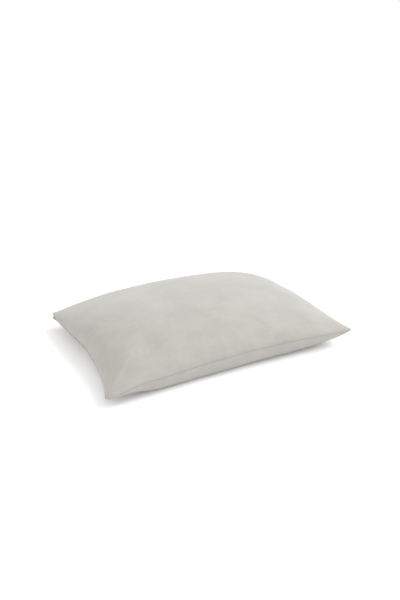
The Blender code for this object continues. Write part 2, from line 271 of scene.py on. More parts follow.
# %% The upper panel's height
CROWN_FULLNESS = 0.57              # the lower, the steeper the cloth rises from the seams
SOFT_PLACES = (                    # middle u and v, reach in u and v, height
    (-0.86, -0.25, 0.22, 0.45, 0.0080),
    (-0.30, 0.05, 0.20, 0.60, -0.0050),
    (-0.65, -0.78, 0.12, 0.18, -0.0080),
    (-0.88, 0.60, 0.24, 0.32, -0.0110),
    (0.45, -0.55, 0.16, 0.25, -0.0035),
)
FOLD_HEIGHT = 0.0035               # of the slanting fold at the plumped corner
FOLD_START = 0.006                 # from the front seam, at the mouth
FOLD_SLANT = 0.84                  # how much it moves back for each metre from the mouth
FOLD_WIDTH = 0.007
FOLD_FADE = 0.030
FOLD_END = 0.095                   # from the mouth


def swell(u, v, fullness):
    """0 on the seams and 1 at the middle of the pillow."""
    return (np.clip(1 - u * u, 0, 1) * np.clip(1 - v * v, 0, 1)) ** fullness


def soft_places(u, v):
    """Lumps and hollows that the filling gives the upper panel."""
    lumps_and_hollows = sum(
        height * bump(u, u_middle, u_reach) * bump(v, v_middle, v_reach)
        for u_middle, v_middle, u_reach, v_reach, height in SOFT_PLACES
    )
    from_mouth, from_front = (u + 1) * HALF_LENGTH, (v + 1) * HALF_WIDTH
    fold = FOLD_HEIGHT * bump(from_front, FOLD_START + FOLD_SLANT * from_mouth, FOLD_WIDTH)
    window = smooth_step(from_mouth, 0, FOLD_FADE) * (
        1 - smooth_step(from_mouth, FOLD_END - FOLD_FADE, FOLD_END))
    return (lumps_and_hollows + fold * window) * np.sqrt(swell(u, v, 1.0))


def crown(u, v):
    """Height of the upper panel."""
    edge = seam_height(u, v) + EDGE_GAP
    return edge + (LOFT - edge) * swell(u, v, CROWN_FULLNESS) + soft_places(u, v)


print("crown in the middle:", round(float(crown(0.0, 0.0)), 4))

# %% The lower panel's height
BELLY_FULLNESS = 0.40
BELLY_PRESS = 1.15                 # over 1, so that a wide part of it is pressed flat on the ground
MOUTH_SLOPE = 0.130                # from the mouth to where the belly has its full depth
INSERT_INSET = 0.0139              # from the case's edge to the insert's
MOUTH_DROP = 0.0033                # between the two lips of the mouth
DROP_REACH = 0.090
MOUTH_GAPE = 0.009                 # more of it at the back corner
GAPE_REACH = 0.070


def belly(u, v):
    """Height of the lower panel, flat where the pillow rests on the ground."""
    from_mouth = (u + 1) * HALF_LENGTH
    lip = 1 - smooth_step(from_mouth, 0.0, DROP_REACH)
    gape = 1 - smooth_step((1 - v) * HALF_WIDTH, 0.0, GAPE_REACH)
    sewn = smooth_step((1 + v) * HALF_WIDTH, 0.0, INSERT_INSET)
    edge = seam_height(u, v) - EDGE_GAP - lip * (MOUTH_DROP * sewn + MOUTH_GAPE * gape)
    slope = np.minimum(from_mouth / MOUTH_SLOPE, 1.0)
    depth = SHEET_HEIGHT * BELLY_PRESS * slope * (2 - slope) * swell(u, v, BELLY_FULLNESS)
    return np.maximum(edge - depth, 0.0)


print("belly in the middle:", round(float(belly(0.0, 0.0)), 4))

# %% Lines across the cloth
CLOTH_CELLS = ((112, 80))
EVENNESS = 0.55                    # brings the lines closer together towards the seams
LAID_FLAT = np.array((0.72, 0.52))  # the case, empty and flat


def line_places(cells):
    """u or v of evenly laid threads: on the swollen pillow they crowd on the plan at the seams."""
    flat = np.linspace(-1, 1, cells + 1)
    return (1 - EVENNESS) * flat + EVENNESS * np.sin(flat * pi / 2)


u_cloth, v_cloth = np.meshgrid(*[line_places(cells) for cells in CLOTH_CELLS], indexing="ij")
plan_x, plan_y = plan(u_cloth, v_cloth)
top_start = np.stack([plan_x, plan_y, crown(u_cloth, v_cloth)], -1)
bottom_start = np.stack([plan_x, plan_y, belly(u_cloth, v_cloth)], -1)
print("cloth grid", u_cloth.shape, "crown", round(top_start[..., 2].max(), 4))

# %% [markdown]
# ## Making meshes from grids
#
# A cloth panel is a grid of points. These helpers turn a grid into a mesh object whose UV map
# holds the flat cloth in metres, so that a weave keeps its scale, and give a thin layer two faces
# and a rim. Faces run anticlockwise seen from outside, so that their normals point outwards.

# %% Helpers for grids
def grid_quads(index):
    """Faces over a grid of vertex numbers, facing up."""
    corners = index[:-1, :-1], index[1:, :-1], index[1:, 1:], index[:-1, 1:]
    return np.stack(corners, -1).reshape(-1, 4)


def border(index):
    """Vertex numbers round a grid, anticlockwise from above, without repeating the first."""
    return np.concatenate([index[:-1, 0], index[-1, :-1], index[:0:-1, -1], index[0, :0:-1]])


def add_mesh(name, points, quads, flat):
    """An object from points, faces and each point's place on the flat cloth."""
    mesh = bpy.data.meshes.new(name)
    mesh.from_pydata(np.asarray(points).reshape(-1, 3).tolist(), [], quads.tolist())
    seen = mesh.uv_layers.new(name="flat_cloth")
    corners = np.empty(len(mesh.loops), np.int32)
    mesh.loops.foreach_get("vertex_index", corners)
    seen.data.foreach_set("uv", np.asarray(flat).reshape(-1, 2)[corners].astype(np.float32).ravel())
    mesh.shade_smooth()
    item = bpy.data.objects.new(name, mesh)
    bpy.context.scene.collection.objects.link(item)
    return item


def layer(name, upper, lower, flat):
    """A closed layer between two grids of points."""
    count = upper.shape[0] * upper.shape[1]
    above = np.arange(count).reshape(upper.shape[:2])
    below = above + count
    rim_above, rim_below = border(above), border(below)
    rim = np.stack([rim_below, np.roll(rim_below, -1), np.roll(rim_above, -1), rim_above], -1)
    quads = np.concatenate([grid_quads(above), grid_quads(below)[:, ::-1], rim])
    points = np.concatenate([upper.reshape(-1, 3), lower.reshape(-1, 3)])
    return add_mesh(name, points, quads, np.concatenate([flat.reshape(-1, 2)] * 2))


def apply_modifiers(item):
    bpy.ops.object.select_all(action="DESELECT")
    bpy.context.view_layer.objects.active = item
    item.select_set(True)
    for modifier in list(item.modifiers):
        bpy.ops.object.modifier_apply(modifier=modifier.name)


def panel(name, points, flat, faces_up, thickness):
    """A panel of cloth: its outer face is the grid, and its thickness goes inwards."""
    quads = grid_quads(np.arange(points.shape[0] * points.shape[1]).reshape(points.shape[:2]))
    item = add_mesh(name, points, quads if faces_up else quads[:, ::-1], flat)
    wall = item.modifiers.new("thickness", "SOLIDIFY")
    wall.thickness = thickness
    wall.offset = -1.0
    apply_modifiers(item)
    return item


# %% [markdown]
# ## Cloth simulation
#
# Puckers are hard to draw by hand, and cloth makes them by itself. A closed bag with the flat
# cut's own size is laid over the form and blown up by air pressure: near the seams there is more
# cloth than the form needs, so it gathers there. The simulation also makes the bag rounder than it
# should be, so only its fine part is kept: the blurred movement is taken away from the whole
# movement, and a share of what is left, the wrinkles, is added to the form.

# %% The bag's mesh
def bag_mesh(name, top, bottom, flat_size):
    """One closed mesh from two grids that share their border, and its shape when it is flat."""
    rows, columns = top.shape[:2]
    above = np.arange(rows * columns).reshape(rows, columns)
    inside = np.zeros((rows, columns), bool)
    inside[1:-1, 1:-1] = True
    below = above.copy()
    below[inside] = rows * columns + np.arange(inside.sum())
    flat = np.stack(np.meshgrid(np.linspace(-1, 1, rows), np.linspace(-1, 1, columns),
                                indexing="ij"), -1) * flat_size / 2
    quads = np.concatenate([grid_quads(above), grid_quads(below)[:, ::-1]])
    everything = np.concatenate([top.reshape(-1, 3), bottom[inside]])
    flat_everything = np.concatenate([flat.reshape(-1, 2), flat[inside]])
    bag = add_mesh(name, everything, quads, flat_everything)
    bag.shape_key_add(name="worn")
    laid_out = bag.shape_key_add(name="laid_out")
    laid_out.data.foreach_set("co", np.column_stack(
        [flat_everything, np.zeros(len(flat_everything))]).ravel())
    return bag, above, below, laid_out


# %% Simulate the bag
SIMULATION_STEPS = 6               # in each frame
AIR_DAMPING = 5
BIAS_GIVE = 3                      # how much more cloth gives on the slant than along its threads


def blown_up(top, bottom, flat_size, pressure, mass, stiffness, bending, frames):
    """How far the cloth of both sides moves when the bag is blown up."""
    bag, above, below, laid_out = bag_mesh("bag", top, bottom, flat_size)
    cloth = bag.modifiers.new("cloth", "CLOTH")
    settings = cloth.settings
    settings.quality = SIMULATION_STEPS
    settings.mass = mass
    settings.air_damping = AIR_DAMPING
    settings.tension_stiffness = settings.compression_stiffness = stiffness
    settings.shear_stiffness = stiffness / BIAS_GIVE
    settings.bending_stiffness = bending
    settings.effector_weights.gravity = 0
    settings.use_pressure = True
    settings.uniform_pressure_force = pressure
    settings.rest_shape_key = laid_out
    cloth.point_cache.frame_end = frames
    scene = bpy.context.scene
    for number in range(1, frames + 1):
        scene.frame_set(number)
    blown = bag.evaluated_get(bpy.context.evaluated_depsgraph_get())
    places = np.empty(len(bag.data.vertices) * 3, np.float32)
    blown.data.vertices.foreach_get("co", places)
    places = places.reshape(-1, 3).astype(float)
    scene.frame_set(1)
    bpy.data.objects.remove(bag, do_unlink=True)
    return places[above] - top, places[below] - bottom


# %% Keep only the wrinkles
BLUR_CELLS = 5                     # what is broader than this counts as the form's own shape
BLUR_REACH = 3                     # times that, where the blur has faded out


def blurred(top, bottom, cells):
    """Both sides blurred; the blur runs on round the seams from one side to the other."""
    reach = BLUR_REACH * cells
    weights = np.exp(-0.5 * (np.arange(-reach, reach + 1) / cells) ** 2)
    weights /= weights.sum()

    def run(own, other, axis):
        count = own.shape[axis]
        before = np.take(other, range(reach, 0, -1), axis)
        after = np.take(other, range(count - 2, count - 2 - reach, -1), axis)
        whole = np.concatenate([before, own, after], axis)
        return sum(w * np.take(whole, range(i, i + count), axis) for i, w in enumerate(weights))

    for axis in (0, 1):
        top, bottom = run(top, bottom, axis), run(bottom, top, axis)
    return top, bottom


def limited(moves, most):
    """Movements with their length held softly under a limit."""
    size = np.linalg.norm(moves, axis=-1, keepdims=True)
    return moves * np.tanh(size / most) / np.maximum(size / most, 1e-9)


def wrinkles(top, bottom, flat_size, share, most, **cloth):
    """The fine part of the movement of a blown-up bag."""
    moved = blown_up(top, bottom, flat_size, **cloth)
    broad = blurred(*moved, BLUR_CELLS)
    return [limited(share * (whole - wide), most) for whole, wide in zip(moved, broad)]


# %% [markdown]
# ## The case's two panels
#
# The wrinkles are eased towards the seams, which a double row of cloth and thread holds almost
# straight, and at the mouth, where no seam gathers the cloth. Then the grids are refined once, so
# that each thread line gets a neighbour, by a curve through four points.

# %% Ease the wrinkles
CASE_CLOTH = 0.0005                # thickness
GROUND_CLEARANCE = 0.0002
SEAM_EASE = 0.35                   # share of the wrinkles left on the seam itself
EASE_REACH = 0.012
MOUTH_EASE_REACH = 0.050
MOUTH_EASE = 0.25                  # share left at the mouth


def from_seams(u, v):
    """Distance from the nearest edge, on the plan."""
    return np.minimum((1 - abs(u)) * HALF_LENGTH, (1 - abs(v)) * HALF_WIDTH)


def eased(moves, u, v):
    share = SEAM_EASE + (1 - SEAM_EASE) * smooth_step(from_seams(u, v), 0, EASE_REACH)
    mouth = smooth_step((u + 1) * HALF_LENGTH, 0, MOUTH_EASE_REACH)
    return moves * (share * (MOUTH_EASE + (1 - MOUTH_EASE) * mouth))[..., None]


# %% Refine a grid
def refined(grid):
    """Twice as many cells each way, on a curve through four neighbours."""
    for axis in (0, 1):
        grid = np.moveaxis(grid, axis, 0)
        first, last = 2 * grid[:1] - grid[1:2], 2 * grid[-1:] - grid[-2:-1]
        ends = np.concatenate([first, grid, last])
        middles = (9 * (ends[1:-2] + ends[2:-1]) - ends[:-3] - ends[3:]) / 16
        fine = np.empty((2 * len(grid) - 1, *grid.shape[1:]))
        fine[::2], fine[1::2] = grid, middles
        grid = np.moveaxis(fine, 0, axis)
    return grid


# %% Shape both panels
top_grid, bottom_grid = top_start.copy(), bottom_start.copy()
top_moves, bottom_moves = wrinkles(
    top_start, bottom_start, LAID_FLAT, share=0.25, most=0.0020,
    pressure=3, mass=0.05, stiffness=40, bending=0.05, frames=25,
)
top_grid += eased(top_moves, u_cloth, v_cloth)
bottom_grid += eased(bottom_moves, u_cloth, v_cloth)
print("wrinkles up to", round(abs(top_moves).max() * 1000, 2), "mm")
top_grid, bottom_grid = refined(top_grid), refined(bottom_grid)
bottom_grid[..., 2] = np.maximum(bottom_grid[..., 2], GROUND_CLEARANCE)
flat_lines = [np.linspace(0, size, count) for size, count in zip(LAID_FLAT, top_grid.shape)]
flat_cloth = np.stack(np.meshgrid(*flat_lines, indexing="ij"), -1)

case_top = panel("pillowcase_top", top_grid, flat_cloth, True, CASE_CLOTH)
case_bottom = panel("pillowcase_bottom", bottom_grid, flat_cloth, False, CASE_CLOTH)
print("panels of", len(case_top.data.polygons), "faces")

# %% [markdown]
# ## Finishes
#
# Cloth gets its look from threads: a plain weave with warp threads along the pillow and weft
# threads across it, a few thicker slubs, and a faint unevenness of the dye. The weave's height also
# darkens the colour between the threads, which is painted shade. The patterns read the flat cloth's
# own coordinates in metres, so the threads keep their true size and follow the folds.
# A node tree is easier to read as sums, so one small class lets Python's own signs add the nodes.

# %% Sums as shader nodes
class Signal:
    """What comes out of one socket of a material's nodes."""

    def __init__(self, tree, socket=None):
        self.tree, self.socket = tree, socket

    def node(self, kind, settings=None, out=0, **values):
        """Adds a node; a value's name is its socket's, or i and the socket's number."""
        made = self.tree.nodes.new("ShaderNode" + kind)
        for name, setting in (settings or {}).items():
            setattr(made, name, setting)
        for name, value in values.items():
            number = name[1:]
            key = int(number) if name[0] == "i" and number.isdigit() else name.replace("_", " ")
            if isinstance(value, Signal):
                self.tree.links.new(value.socket, made.inputs[key])
            else:
                made.inputs[key].default_value = value
        return Signal(self.tree, made.outputs[out])

    def maths(self, operation, left, right=0.0):
        return self.node("Math", {"operation": operation}, i0=left, i1=right)

    def __add__(self, other):
        return self.maths("ADD", self, other)

    def __sub__(self, other):
        return self.maths("SUBTRACT", self, other)

    def __rsub__(self, other):
        return self.maths("SUBTRACT", other, self)

    def __mul__(self, other):
        return self.maths("MULTIPLY", self, other)

    __radd__ = __add__
    __rmul__ = __mul__

    def sine(self):
        return self.maths("SINE", self)

    def size(self):
        return self.maths("ABSOLUTE", self)

    def between(self, low, high):
        """0 below low, 1 above high and a smooth turn between them."""
        return self.node("MapRange", {"interpolation_type": "SMOOTHSTEP"},
                         Value=self, From_Min=low, From_Max=high)

    def mixed(self, first, second):
        """The first colour where this is 0, and the second where it is 1."""
        colours = {"i6": (*first, 1.0), "i7": (*second, 1.0)}
        return self.node("Mix", {"data_type": "RGBA"}, out=2, Factor=self, **colours)


# %% Start a finish
def new_finish(name, roughness, sheen=0.0):
    """A material with its surface shader; what is the same all over is set on the shader."""
    material = bpy.data.materials.new(name)
    material.use_nodes = True
    shader = material.node_tree.nodes["Principled BSDF"]
    shader.inputs["Roughness"].default_value = roughness
    shader.inputs["Specular IOR Level"].default_value = 0.25
    shader.inputs["Sheen Weight"].default_value = sheen
    shader.inputs["Sheen Roughness"].default_value = 0.6
    return material, Signal(material.node_tree), shader


def connect(signal, shader, socket):
    signal.tree.links.new(signal.socket, shader.inputs[socket])


def raised(signal, height, depth, strength=1.0):
    """Turns a height signal into a surface normal."""
    return signal.node("Bump", Strength=strength, Distance=depth, Height=height)


# %% Weave and slubs
def woven(signal, thread):
    """The flat cloth's coordinates, and the height of a plain weave of this thread spacing."""
    flat = signal.node("UVMap", {"uv_map": "flat_cloth"})
    wander = signal.node("TexNoise", out=1, Vector=flat, Scale=90.0, Detail=2.0)
    moved = signal.node("VectorMath", {"operation": "MULTIPLY_ADD"},
                        i0=wander, i1=(thread, thread, 0.0), i2=flat)
    along_cloth = signal.node("SeparateXYZ", out=0, Vector=moved)
    across_cloth = signal.node("SeparateXYZ", out=1, Vector=moved)
    wave_along = (along_cloth * (pi / thread)).sine()
    wave_across = (across_cloth * (pi / thread)).sine()
    over = (wave_along * wave_across).between(-0.25, 0.25)
    height = wave_along.size() * over + wave_across.size() * (1 - over)
    return flat, height


def slubs(signal, flat, stretch, scale):
    """Thicker stretches of thread: noise drawn out along the threads."""
    drawn = signal.node("Mapping", Vector=flat, Scale=stretch)
    return signal.node("TexNoise", Vector=drawn, Scale=scale, Detail=3.0, Roughness=0.6)


# %% Case cloth
CASE_DARK = (0.295, 0.281, 0.258)
CASE_LIGHT = (0.403, 0.387, 0.354)
CASE_THREAD_SPACING = 0.00042


def case_cloth_finish():
    material, signal, shader = new_finish("case_cloth", roughness=0.85, sheen=0.25)
    flat, weave = woven(signal, CASE_THREAD_SPACING)
    warp_slubs = slubs(signal, flat, (10.0, 420.0, 1.0), 1.0)
    weft_slubs = slubs(signal, flat, (420.0, 14.0, 1.0), 1.0)
    dye = signal.node("TexNoise", Vector=flat, Scale=14.0, Detail=4.0, Roughness=0.55)
    slub = warp_slubs.between(0.35, 0.75) * 0.6 + weft_slubs.between(0.35, 0.75) * 0.4
    # the weave's share is painted shade, darker between the threads; slubs and dye are the cloth's
    # own tone
    tone = slub * 0.35 + dye.between(0.3, 0.7) * 0.30 + weave * 0.35
    connect(tone.mixed(CASE_DARK, CASE_LIGHT), shader, "Base Color")
    connect(0.80 + dye * 0.12, shader, "Roughness")
    height = weave * 0.55 + slub * 0.45
    connect(raised(signal, height, depth=0.00016, strength=0.55), shader, "Normal")
    return material


case_finish = case_cloth_finish()
print("finish", case_finish.name, "has", len(case_finish.node_tree.nodes), "nodes")

# %% Floor finish
FLOOR_WHITE = (0.88, 0.88, 0.88)
GLOW_COLOUR = (0.94, 0.96, 1.0)
FLOOR_GLOW = 0.06                  # light that comes through the ground from below

floor_finish, _, floor_shader = new_finish("white_ground", roughness=0.9)
floor_shader.inputs["Base Color"].default_value = (*FLOOR_WHITE, 1.0)
floor_shader.inputs["Emission Color"].default_value = (*GLOW_COLOUR, 1.0)
floor_shader.inputs["Emission Strength"].default_value = FLOOR_GLOW
floor.data.materials.append(floor_finish)
print("the ground is", floor_finish.name)

# %% [markdown]
# ## Reading the finished panels
#
# Most of what is inside the pillow lies a little under one of the two panels: hems, flap, ticking.
# So one small class reads a panel's outer face anywhere, and steps inwards along its normal. A
# layer made that way follows the wrinkles of the cloth over it, and stays clear of it as long as
# the folds are wider than the step is deep. The seams' own strips follow the smooth sheet instead.

# %% A panel that can be read anywhere
class Face:
    """A finished panel's outer face; its grid ends this far inside the case's edge."""

    def __init__(self, grid, faces_up, inset=0.0):
        outwards = np.cross(np.gradient(grid, axis=0), np.gradient(grid, axis=1))
        size = np.linalg.norm(outwards, axis=-1, keepdims=True)
        self.grid = grid
        self.normals = outwards / size if faces_up else -outwards / size
        self.u_lines, self.v_lines = (
            line_places(count - 1) * (1 - inset / half)
            for count, half in zip(grid.shape[:2], (HALF_LENGTH, HALF_WIDTH))
        )

    def read(self, values, u, v):
        """Values at these places, mixed from the four grid points round each."""
        i = np.interp(u, self.u_lines, np.arange(len(self.u_lines)))
        j = np.interp(v, self.v_lines, np.arange(len(self.v_lines)))
        row = np.minimum(i.astype(int), len(self.u_lines) - 2)
        column = np.minimum(j.astype(int), len(self.v_lines) - 2)
        s, t = (i - row)[..., None], (j - column)[..., None]
        near = values[row, column] * (1 - t) + values[row, column + 1] * t
        far = values[row + 1, column] * (1 - t) + values[row + 1, column + 1] * t
        return near * (1 - s) + far * s

    def under(self, u, v, depth):
        """Places this far inside the face."""
        inwards = self.read(self.normals, u, v) * (np.zeros_like(u) + depth)[..., None]
        return self.read(self.grid, u, v) - inwards


# %% Places by their distance
def along(distance):
    """u at this distance from the mouth."""
    return distance / HALF_LENGTH - 1


def across(distance):
    """v at this distance from the front."""
    return distance / HALF_WIDTH - 1


def on_sheet(u, v, lift):
    """Places over the sheet that the seams lie in."""
    x, y = plan(u, v)
    return np.stack([x, y, seam_height(u, v) + lift], -1)


upper_case, lower_case = Face(top_grid, True), Face(bottom_grid, False)
centre = np.zeros(1)
case_middle = upper_case.under(centre, centre, 0.0) - lower_case.under(centre, centre, 0.0)
print("from face to face in the middle", round(float(case_middle[0, 2]), 4))

# %% [markdown]
# ## Hems, flap and seam allowances
#
# A hem is the cloth folded twice and sewn down: a flat strip with rounded edges. The flap is a
# third panel that is sewn to the top panel at the mouth and reaches in over the bottom panel; the
# insert's end tucks under it. Along the three closed seams, and where the flap is sewn on, the raw
# edges are turned in, one on the other, as a narrow strip inside the seam. Hems and turned-in edges
# are thin layers between two faces, so one helper makes them: it thins the layer towards its long
# edges in a quarter round. The flap is a panel like the other two.

# %% Strips of folded cloth
STRIP_STEP = 0.005                 # between the lines across the long way
ROUNDING = 0.0010                  # of a fold
THINNEST = 0.2                     # share of the thickness that a fold keeps at its very edge
FOLD_LINES = 5                     # across each rounded edge
MIDDLE_LINES = 5                   # across the flat stretch between them


def strip_lines(start, end, is_long):
    """Distances of the lines across a strip; a short way gets more of them near its two edges."""
    if is_long:
        return np.linspace(start, end, ceil((end - start) / STRIP_STEP) + 1)
    near = ROUNDING * (1 - np.cos(np.linspace(0, pi / 2, FOLD_LINES)))
    inner = np.linspace(start + ROUNDING, end - ROUNDING, MIDDLE_LINES + 2)[1:-1]
    return np.concatenate([start + near, inner, (end - near)[::-1]])


def rounded(distances):
    """Share of its thickness that a strip has at these distances."""
    edge = np.minimum(distances - distances[0], distances[-1] - distances)
    t = 1 - np.clip(edge / ROUNDING, 0, 1)
    return THINNEST + (1 - THINNEST) * np.sqrt(1 - t * t)


def strip(name, u_way, v_way, thickness, middle_face):
    """A strip of cloth: middle_face gives its places at an offset from its middle."""
    u_long = u_way[1] - u_way[0] > v_way[1] - v_way[0]
    u_distances, v_distances = strip_lines(*u_way, u_long), strip_lines(*v_way, not u_long)
    share = rounded(v_distances) if u_long else rounded(u_distances)[:, None]
    share = np.broadcast_to(share, (len(u_distances), len(v_distances)))
    flat = np.stack(np.meshgrid(u_distances, v_distances, indexing="ij"), -1)
    u, v = along(flat[..., 0]), across(flat[..., 1])
    half = share * thickness / 2
    return layer(name, middle_face(u, v, half), middle_face(u, v, -half), flat)


# %% Hems
GAP = 0.0003                       # between layers
HEM_THICKNESS = 0.0012
MOUTH_HEM_WIDTH = 0.0279
FLAP_LENGTH = 0.165
FLAP_HEM_WIDTH = 0.020
FRONT, BACK = INSERT_INSET, WIDTH - INSERT_INSET
LEFT, RIGHT = INSERT_INSET, LENGTH - INSERT_INSET
HEM_DEPTH = CASE_CLOTH + GAP + HEM_THICKNESS / 2
FLAP_DEPTH = CASE_CLOTH + HEM_THICKNESS + 2 * GAP


def over_bottom(depth):
    """Places at an offset from this depth over the bottom panel."""
    return lambda u, v, offset: lower_case.under(u, v, depth + offset)


mouth_hem = strip("mouth_hem", (0.0, MOUTH_HEM_WIDTH), (FRONT, BACK), HEM_THICKNESS,
                  over_bottom(HEM_DEPTH))
flap_hem = strip("flap_hem", (FLAP_LENGTH - FLAP_HEM_WIDTH, FLAP_LENGTH), (FRONT, BACK),
                 HEM_THICKNESS, over_bottom(HEM_DEPTH))
print("hems:", mouth_hem.name, flap_hem.name)

# %% Seam allowances
ALLOWANCE_THICKNESS = 0.0010
ALLOWANCE_START = 0.002
ALLOWANCE_WIDTH = 0.007
ALLOWANCE_END = ALLOWANCE_START + ALLOWANCE_WIDTH

seam_ways = {
    "front_seam": ((LEFT, RIGHT), (ALLOWANCE_START, ALLOWANCE_END)),
    "back_seam": ((LEFT, RIGHT), (WIDTH - ALLOWANCE_END, WIDTH - ALLOWANCE_START)),
    "end_seam": ((LENGTH - ALLOWANCE_END, LENGTH - ALLOWANCE_START), (FRONT, BACK)),
    "flap_seam": ((ALLOWANCE_START, ALLOWANCE_END), (FRONT, BACK)),
}
seams = {
    name: strip(name, *ways, ALLOWANCE_THICKNESS, on_sheet) for name, ways in seam_ways.items()
}
print("seams:", *seams)

# %% Flap
FLAP_TURN = 0.020                  # over this length the flap comes down from the upper lip


def flap_face(u, v):
    """Lower face of the flap: from under the top panel's edge down on the bottom panel's hem."""
    lip = on_sheet(u, v, -EDGE_GAP - 2 * CASE_CLOTH)
    laid = lower_case.under(u, v, FLAP_DEPTH)
    turn = smooth_step((u + 1) * HALF_LENGTH, 0.0, FLAP_TURN)[..., None]
    return lip * (1 - turn) + laid * turn


flap_distances = (
    np.linspace(0.0, FLAP_LENGTH, ceil(FLAP_LENGTH / STRIP_STEP) + 1),
    np.linspace(FRONT, BACK, ceil((BACK - FRONT) / STRIP_STEP) + 1),
)
flap_flat = np.stack(np.meshgrid(*flap_distances, indexing="ij"), -1)
flap = panel("pillowcase_flap", flap_face(along(flap_flat[..., 0]), across(flap_flat[..., 1])),
             flap_flat, False, CASE_CLOTH)
print("flap", len(flap.data.polygons), "faces")

# %% [markdown]
# ## Stitches
#
# A lockstitch row shows as short, slightly sunk dashes of thread. One stitch is modelled: a small
# ball with its far half pushed away, which makes a capsule. The rows are then copies of it, laid
# one after the other along a line on the cloth, each turned the way the line runs there.

# %% One stitch
THREAD_RADIUS = 0.0003
STITCH_LENGTH = 0.0024
STITCH_PITCH = 0.0030
STITCH_INSET = 0.003               # of a row from the edge that it holds

bpy.ops.object.select_all(action="DESELECT")
bpy.ops.mesh.primitive_uv_sphere_add(segments=6, ring_count=6, radius=THREAD_RADIUS)
stitch = bpy.context.object
bpy.ops.object.mode_set(mode="EDIT")
bpy.ops.mesh.select_all(action="DESELECT")
bpy.ops.object.mode_set(mode="OBJECT")
for vertex in stitch.data.vertices:
    vertex.select = vertex.co.z > THREAD_RADIUS / 4
bpy.ops.object.mode_set(mode="EDIT")
bpy.ops.transform.translate(value=(0, 0, STITCH_LENGTH - 2 * THREAD_RADIUS))
bpy.ops.mesh.select_all(action="SELECT")
bpy.ops.transform.rotate(value=pi / 2, orient_axis="Y", center_override=(0, 0, 0))
bpy.ops.object.mode_set(mode="OBJECT")
stitch_points = np.array([vertex.co for vertex in stitch.data.vertices])
stitch_points -= (stitch_points.max(0) + stitch_points.min(0)) / 2
stitch_faces = [tuple(polygon.vertices) for polygon in stitch.data.polygons]
bpy.data.objects.remove(stitch, do_unlink=True)
print("one stitch has", len(stitch_faces), "faces and is", np.ptp(stitch_points, 0).round(4), "m")


# %% Places along a line
def resampled(points, pitch):
    """Places one pitch apart along a line of points, and the line's direction at each."""
    steps = np.linalg.norm(np.diff(points, axis=0), axis=1)
    run = np.concatenate([[0.0], np.cumsum(steps)])
    stops = np.arange(pitch / 2, run[-1], pitch)
    places = np.stack([np.interp(stops, run, points[:, i]) for i in range(3)], -1)
    ahead = np.stack([np.interp(stops + pitch / 4, run, points[:, i]) for i in range(3)], -1)
    behind = np.stack([np.interp(stops - pitch / 4, run, points[:, i]) for i in range(3)], -1)
    directions = ahead - behind
    return places, directions / np.linalg.norm(directions, axis=1, keepdims=True)


# %% A row of stitches
def stitch_row(name, points, pitch=STITCH_PITCH):
    """A row of stitches along a line of points, as one piece."""
    places, directions = resampled(points, pitch)
    sides = np.cross(directions, (0.0, 0.0, 1.0))
    sides /= np.linalg.norm(sides, axis=1, keepdims=True)
    frames = np.stack([directions, sides, np.cross(directions, sides)], 1)
    laid = places[:, None] + np.einsum("pa,sac->spc", stitch_points, frames)
    count = len(stitch_points)
    faces = [tuple(corner + number * count for corner in face)
             for number in range(len(places)) for face in stitch_faces]
    mesh = bpy.data.meshes.new(name)
    mesh.from_pydata(laid.reshape(-1, 3).tolist(), [], faces)
    mesh.shade_smooth()
    item = bpy.data.objects.new(name, mesh)
    bpy.context.scene.collection.objects.link(item)
    bpy.ops.object.select_all(action="DESELECT")
    bpy.context.view_layer.objects.active = item
    item.select_set(True)
    bpy.ops.object.mode_set(mode="EDIT")
    bpy.ops.mesh.select_all(action="SELECT")
    bpy.ops.mesh.normals_make_consistent(inside=False)
    bpy.ops.object.mode_set(mode="OBJECT")
    return item


# %% The case's rows
LINE_STEPS = 400
SUNK = 0.4                         # share of a thread's radius that is pressed into the cloth
UPRIGHT = THREAD_RADIUS * (1 - SUNK) + GAP


def line_across(distance, low=FRONT, high=BACK):
    v = across(np.linspace(low, high, LINE_STEPS))
    return along(distance) + 0 * v, v


def line_along(distance, low=LEFT, high=RIGHT):
    u = along(np.linspace(low, high, LINE_STEPS))
    return u, across(distance) + 0 * u


allowance_middle = (ALLOWANCE_START + ALLOWANCE_END) / 2
over_allowance = ALLOWANCE_THICKNESS / 2 + UPRIGHT
mouth_line = line_across(MOUTH_HEM_WIDTH - STITCH_INSET)
flap_line = line_across(FLAP_LENGTH - FLAP_HEM_WIDTH + STITCH_INSET)
case_rows = {
    "mouth_stitching": lower_case.under(*mouth_line, -THREAD_RADIUS * (1 - SUNK)),
    "flap_stitching": lower_case.under(*flap_line, FLAP_DEPTH + CASE_CLOTH + UPRIGHT),
    "flap_seam_stitching": on_sheet(*line_across(allowance_middle), over_allowance),
    "front_seam_stitching": on_sheet(*line_along(allowance_middle), over_allowance),
    "back_seam_stitching": on_sheet(*line_along(WIDTH - allowance_middle), over_allowance),
    "end_seam_stitching": on_sheet(*line_across(LENGTH - allowance_middle), over_allowance),
}
case_stitches = {name: stitch_row(name, points) for name, points in case_rows.items()}
print({name: len(row.data.polygons) // len(stitch_faces) for name, row in case_stitches.items()})

# %% [markdown]
# ## The insert
#
# The ticking is a bag of its own, a little smaller than the case. Its two panels rise in a round
# shoulder from the piped seam to just under the case, or over the flap near the mouth. They pucker
# more than the case does, because the piping and the tight filling gather them, so the ticking is
# blown up in a simulation of its own. Its wrinkles only go inwards, away from the case.

# %% Form of the ticking
TICKING_CLOTH = 0.0005
SHOULDER = 0.014                   # over this width the ticking rises from its seam to the case
UNDER_CASE = CASE_CLOTH + GAP
FLAP_LIFT = 0.0051                 # of the ticking over the bottom panel where the flap is
STEP_REACH = 0.030
TICKING_CELLS = ((84, 60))
TICKING_MOST = 0.0030              # deepest wrinkle, measured from the highest
TICKING_EASE = 1.03                # its flat cloth over the seamed outline


